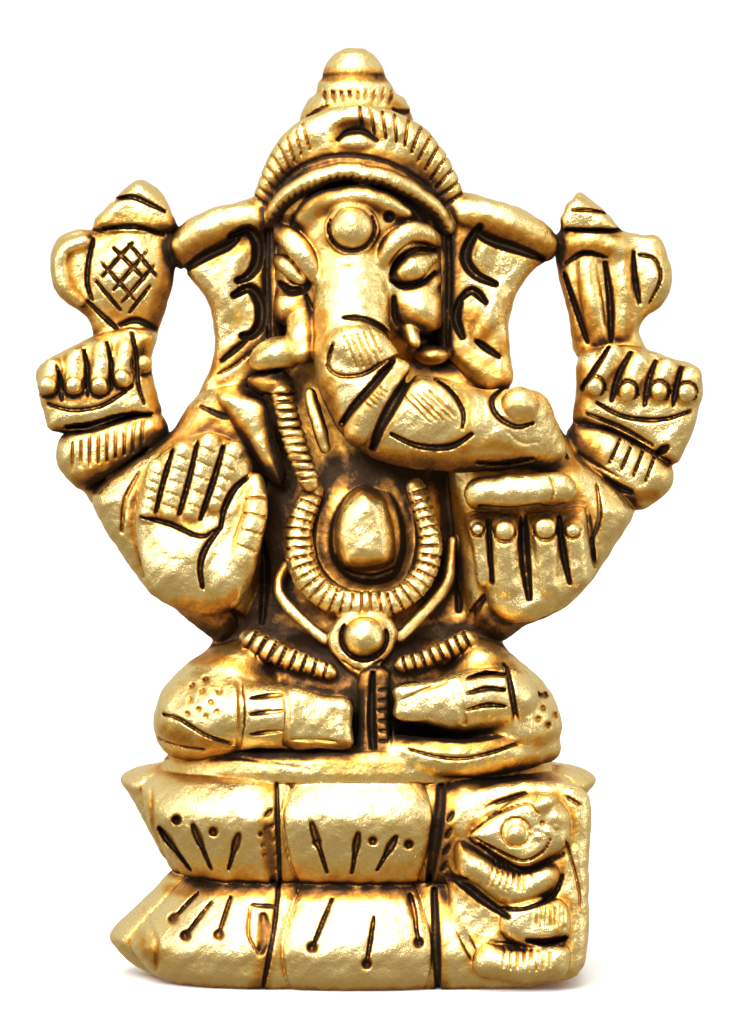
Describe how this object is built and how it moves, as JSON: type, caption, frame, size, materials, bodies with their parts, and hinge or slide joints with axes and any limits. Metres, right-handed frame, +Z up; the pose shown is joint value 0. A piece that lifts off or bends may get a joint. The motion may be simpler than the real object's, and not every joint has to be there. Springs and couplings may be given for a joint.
{
  "type": "ganesha idol",
  "caption": "Seated elephant-headed Hindu deity figure on an oval lotus base with a mouse beside it; small solid brass devotional idol for a shelf or altar.",
  "frame": {"origin": "centre of the bounding box at the flat underside of the lotus base", "axes": "+Z up through the crown, the figure faces -Y, its left hand is on the +X side"},
  "size_m": [0.0532, 0.0254, 0.076],
  "materials": {
    "brass_polished": "polished raised brass with fine scratches",
    "brass_toned": "half-rubbed brass, orange-brown in its hollows",
    "brass_darkened": "dark patina left in the recesses"
  },
  "bodies": {
    "root": {"trunk_sweet": "brass_toned", "trunk": "brass_polished", "tusk_right": "brass_toned", "tusk_left": "brass_toned", "tilak_bead": "brass_toned", "head": "brass_polished", "brow_band": "brass_toned", "crown_finial": "brass_polished", "crown_ring": "brass_polished", "crown_main": "brass_polished", "ear_right": "brass_polished", "ear_left": "brass_polished", "sweet_roll": "brass_polished", "front_left_hand": "brass_polished", "open_palm_thumb": "brass_polished", "front_right_palm": "brass_polished", "shoulder_knob": "brass_toned", "sash_end": "brass_toned", "sacred_cord": "brass_toned", "garland": "brass_polished", "pendant": "brass_toned", "belly": "brass_toned", "waist_belt_right": "brass_toned", "waist_belt_left": "brass_toned", "anklet_right": "brass_polished", "anklet_left": "brass_polished", "foot_right": "brass_polished", "foot_left": "brass_polished", "dhoti_fold": "brass_darkened", "lap_cloth": "brass_toned", "leg_right": "brass_polished", "leg_left": "brass_polished", "rear_right_bracelet": "brass_toned", "rear_left_bracelet": "brass_toned", "rear_right_hand": "brass_polished", "rear_left_hand": "brass_polished", "rear_right_attribute": "brass_toned", "rear_left_attribute": "brass_toned", "front_right_arm": "brass_polished", "front_left_arm": "brass_polished", "rear_right_arm": "brass_darkened", "rear_left_arm": "brass_darkened", "torso": "brass_darkened", "mouse": "brass_polished", "seat_drape": "brass_toned", "lotus_upper_tier": "brass_polished", "lotus_lower_tier": "brass_polished"}
  },
  "joints": []
}
